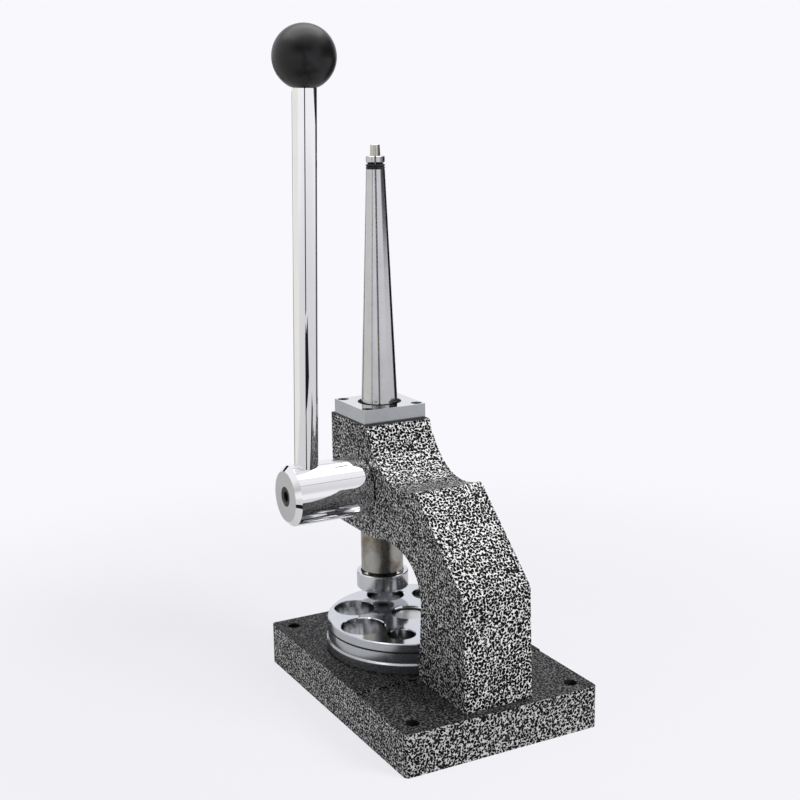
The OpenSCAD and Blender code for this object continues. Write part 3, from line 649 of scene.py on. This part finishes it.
def set_lights():
    """Three soft lamps that the metal doesn't mirror, and a panel that only mirrors show."""
    for name, place, aim, size, power in (
        ("key_light", (-0.9, 1.5, 1.15), (0, 0, 0.1), (0.9, 0.9), 34),
        ("side_light", (1.6, 0.3, 0.5), (0, 0, 0.15), (0.5, 1.2), 3),
        ("top_light", (0.1, 0.2, 1.9), (0, 0, 0), (0.8, 0.8), 2),
    ):
        add_light(name, place, aim, size, power).visible_glossy = False
    panel = add_light("glow_light", on_table(-0.25, -0.1, 1.5), (0, 0, 0.3), (2.0, 1.2), 17)
    panel.visible_diffuse = False


def room_tone(t, direction):
    """White room with a dark side, a dark front and two seams between light panels.

    Height is 0 at the horizon and 1 overhead. Turn is in radians, from the camera to its right.
    """
    room_dark = (0.05, 0.05, 0.055)
    x, y, height = t.add("ShaderNodeSeparateXYZ", {0: direction}).outputs
    towards = t.weigh(x, CAMERA_X, y, CAMERA_Y)
    rightward = t.weigh(x, -CAMERA_Y, y, CAMERA_X)
    turn = t.math("ARCTAN2", rightward, towards)
    low = t.ramp(height, 0.42, 0.6, 1.0, 0.0)
    side = t.band(turn, 1.0, 1.2, 2.5, 2.62)
    ahead = t.ramp(t.math("ABSOLUTE", turn), 0.2, 1.3, 1.0, 0.0)
    front = t.math("MULTIPLY", ahead, t.band(height, 0.12, 0.35, 0.6, 0.85))
    dark = t.math("MAXIMUM", t.math("MULTIPLY", side, low), front)
    seams = t.math(
        "MAXIMUM", t.near(height, 0.66, 0.004, 0.012), t.near(height, 0.9, 0.002, 0.008)
    )
    dark = t.math("MAXIMUM", dark, t.math("MULTIPLY", seams, 0.8))
    return t.mix(dark, STUDIO_WHITE, room_dark)


def seen_directly(t):
    """One for rays from the camera, off a mirror or through glass, nothing for soft light."""
    path = t.add("ShaderNodeLightPath").outputs
    seen = t.math("ADD", path["Is Camera Ray"], path["Is Glossy Ray"], clamp=True)
    return t.math("ADD", seen, path["Is Transmission Ray"], clamp=True)


def set_world():
    """White behind the object, the room in its mirrors, and a dim even light on its paint."""
    dim = (0.25, 0.25, 0.255)
    world = bpy.data.worlds.new("studio")
    bpy.context.scene.world = world
    world.use_nodes = True
    t = Tree(world.node_tree)
    direction = t.add("ShaderNodeTexCoord").outputs["Generated"]
    camera_ray = t.add("ShaderNodeLightPath").outputs["Is Camera Ray"]
    backdrop = t.mix(camera_ray, room_tone(t, direction), STUDIO_WHITE)
    ground = world.node_tree.nodes["Background"]
    t.feed(ground.inputs["Color"], t.mix(seen_directly(t), dim, backdrop))


def set_floor():
    """A pale table that keeps the object's shadow and turns to the backdrop's white further out. In
    mirrors it is darker near the object, a painted shade.
    """
    pale, shade = (0.86, 0.86, 0.87), (0.2, 0.2, 0.19)
    bpy.ops.mesh.primitive_plane_add(size=12, location=(0, 0, -0.2 * MM))
    floor = bpy.context.object
    floor.name = "table_top"
    material, t, shader, place = new_material("table_white")
    t.feed(shader.inputs["Base Color"], pale)
    t.feed(shader.inputs["Roughness"], 0.9)
    glow = t.add("ShaderNodeEmission", {"Color": STUDIO_WHITE, "Strength": 1.0})
    reach = t.add("ShaderNodeVectorMath", {0: place}, operation="LENGTH").outputs["Value"]
    share = t.math("MULTIPLY", seen_directly(t), t.ramp(reach, 0.2, 0.6, 0.8, 1.0))
    mirrored = t.add("ShaderNodeLightPath").outputs["Is Glossy Ray"]
    # Painted shade: mirrors see the table darker near the object, fading out by 3.5 m
    painted_shade_in_mirrors = t.math("MULTIPLY", mirrored, t.ramp(reach, 0.1, 3.5, 0.35, 0.0))
    t.feed(glow.inputs["Color"], t.mix(painted_shade_in_mirrors, STUDIO_WHITE, shade))
    mixed = t.add(
        "ShaderNodeMixShader", {0: share, 1: shader.outputs[0], 2: glow.outputs[0]}
    )
    t.feed(material.node_tree.nodes["Material Output"].inputs["Surface"], mixed.outputs[0])
    floor.data.materials.append(material)


def add_card(name, middle, across, along, finish):
    """A card that only mirrors show, at middle, spanned by two half sides."""
    bpy.ops.mesh.primitive_plane_add(size=2)
    card = bpy.context.object
    card.name = name
    turned = Matrix((across, along, across.cross(along))).transposed().to_4x4()
    card.matrix_world = Matrix.Translation(middle) @ turned
    card.visible_camera = False
    card.visible_diffuse = False
    card.visible_shadow = False
    card.data.materials.append(finish)


def set_cards():
    """What the metal mirrors: cards beside the object, flat on the table and round the camera."""
    black = dark_coat("card_black", (0.012, 0.012, 0.013), 0.8, 0.0)
    pale = dark_coat("card_pale", (0.05, 0.05, 0.05), 0.8, 0.0)
    glowing = pale.node_tree.nodes["Principled BSDF"].inputs
    glowing["Emission Color"].default_value = (1.0, 0.985, 0.93, 1)
    glowing["Emission Strength"].default_value = 0.8
    half, flat = 0.2, 1 * MM
    tall = upright * half
    right_run = to_camera * -0.13 + to_right * -0.128
    left_run = to_camera * -0.03 + to_right * 0.05
    pale_run = to_camera * 0.35 + to_right * -0.03
    for name, middle, across, along, finish in (
        ("right_card", (-0.39, 0.313, half), right_run, tall, black),
        ("left_card", (-0.47, -0.445, half), left_run, tall, black),
        ("pale_card", (0.02, -0.62, half), pale_run, tall, pale),
        ("front_card", (0.24, 0.1, flat), to_camera * 0.065, to_right * 0.4, black),
        ("far_card", (0.72, 0.12, flat), to_camera * 0.16, to_right * 0.2, black),
        ("lens_card", (0.98, 0.04, 0.3), to_right * 0.08, upright * 0.3, black),
        ("cable_card", (0.55, -0.03, flat), to_camera * 0.38, to_right * 0.036, black),
    ):
        add_card(name, on_table(*middle), across, along, finish)


set_camera()
set_lights()
set_world()
set_floor()
set_cards()
bpy.context.scene.view_settings.view_transform = "Standard"
